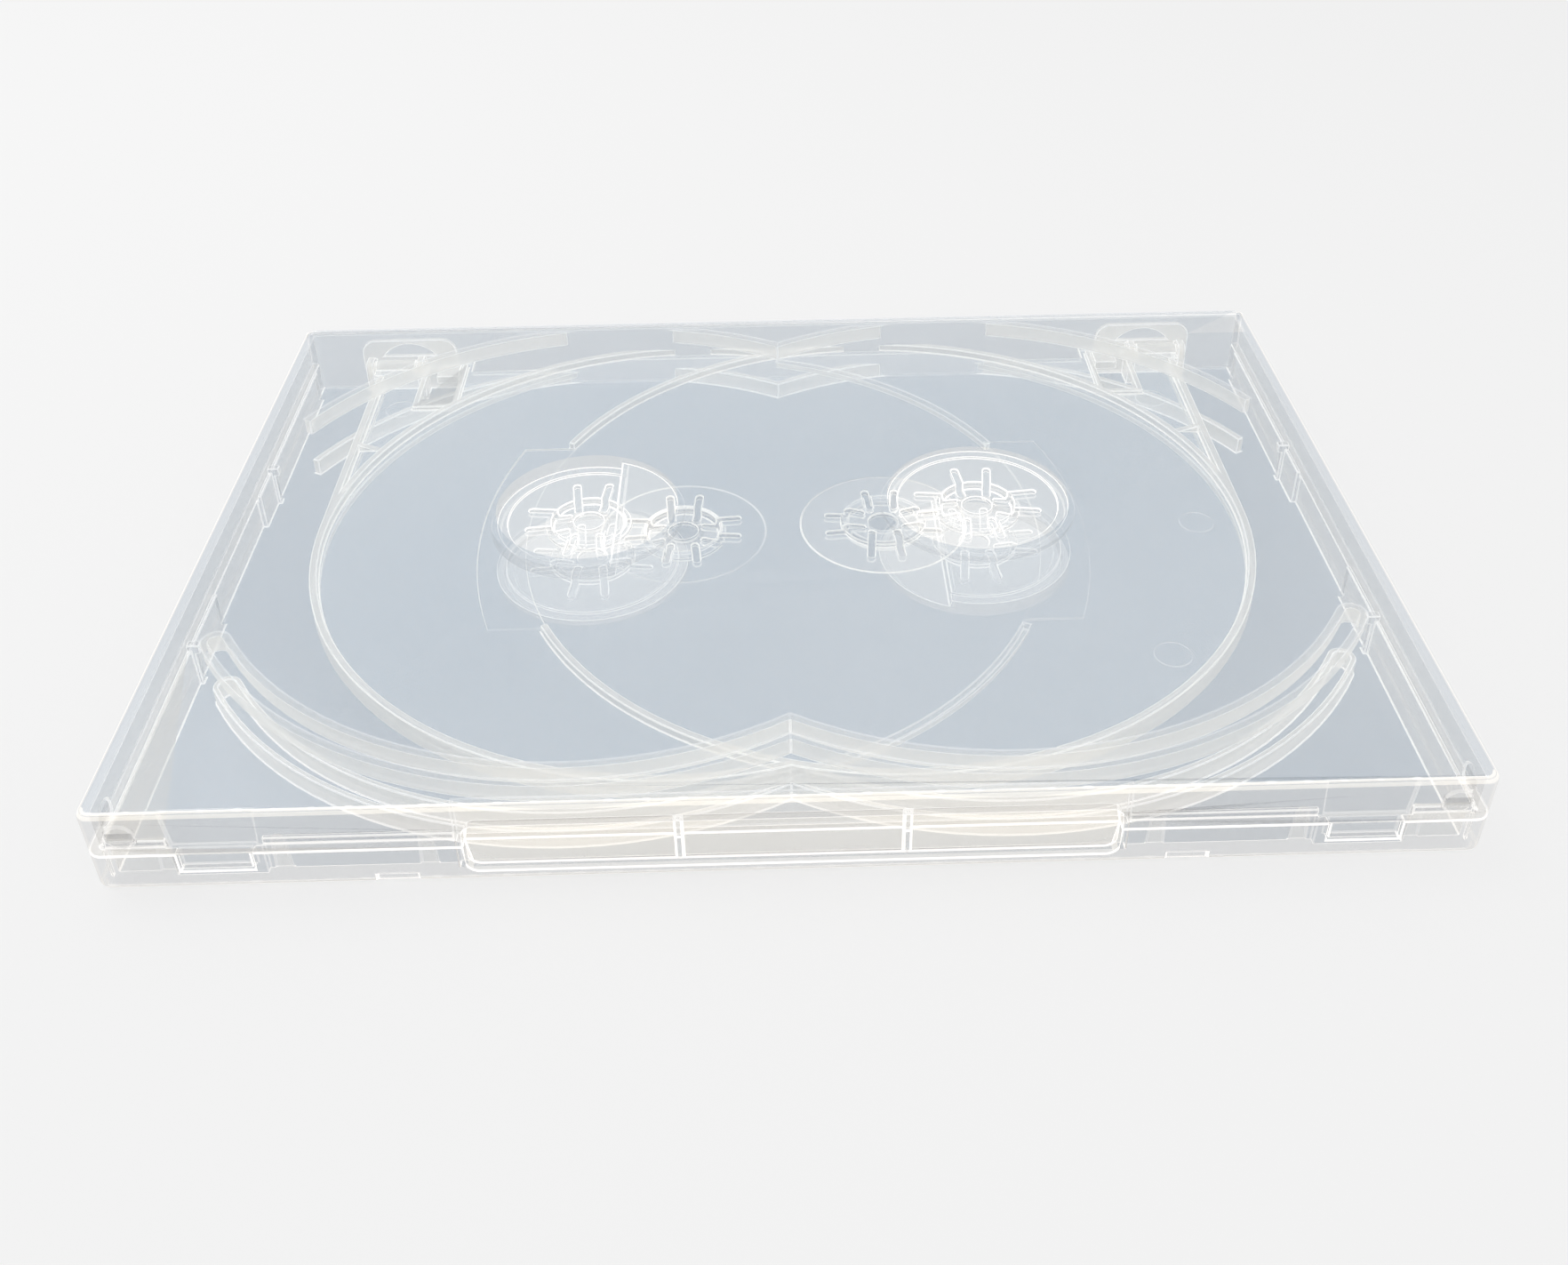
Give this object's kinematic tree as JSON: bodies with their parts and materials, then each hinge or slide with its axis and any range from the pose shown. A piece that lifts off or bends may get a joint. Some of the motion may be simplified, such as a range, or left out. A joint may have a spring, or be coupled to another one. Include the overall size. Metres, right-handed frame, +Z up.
{
  "type": "multi-disc dvd case",
  "caption": "Clear book-style disc case with overlapping sprung hubs in base and cover, a hinged flip tray between them and a film sleeve outside.",
  "frame": {"origin": "centre of the rectangle the closed case covers on the table, at table level", "axes": "+X right along the opening edge, +Y towards the spine, +Z up through the closed case"},
  "size_m": [0.19, 0.135, 0.014],
  "materials": {
    "clear_plastic": "clear polypropylene with a faint cool haze",
    "tray_plastic": "clear polypropylene, slightly warmer",
    "film": "thin clear polypropylene film"
  },
  "bodies": {
    "base": {"base_half": "clear_plastic", "sleeve_back": "film"},
    "spine": {"spine_strip": "clear_plastic", "sleeve_spine": "film"},
    "cover": {"cover_half": "clear_plastic", "sleeve_front": "film"},
    "tray": {"flip_tray": "tray_plastic"}
  },
  "joints": [
    {"name": "spine_hinge", "type": "hinge", "parent": "base", "child": "spine", "pos_m": [0, 0.067, 0.0003], "axis": [-1, 0, 0], "range_deg": [0, 90]},
    {"name": "cover_hinge", "type": "hinge", "parent": "spine", "child": "cover", "pos_m": [0, 0.067, 0.0137], "axis": [-1, 0, 0], "range_deg": [0, 90]},
    {"name": "tray_hinge", "type": "hinge", "parent": "base", "child": "tray", "pos_m": [0, 0.0629, 0.007], "axis": [-1, 0, 0], "range_deg": [0, 90]}
  ],
  "couplings": [
    {"joint": "tray_hinge", "follows": "spine_hinge", "ratio": 1}
  ]
}
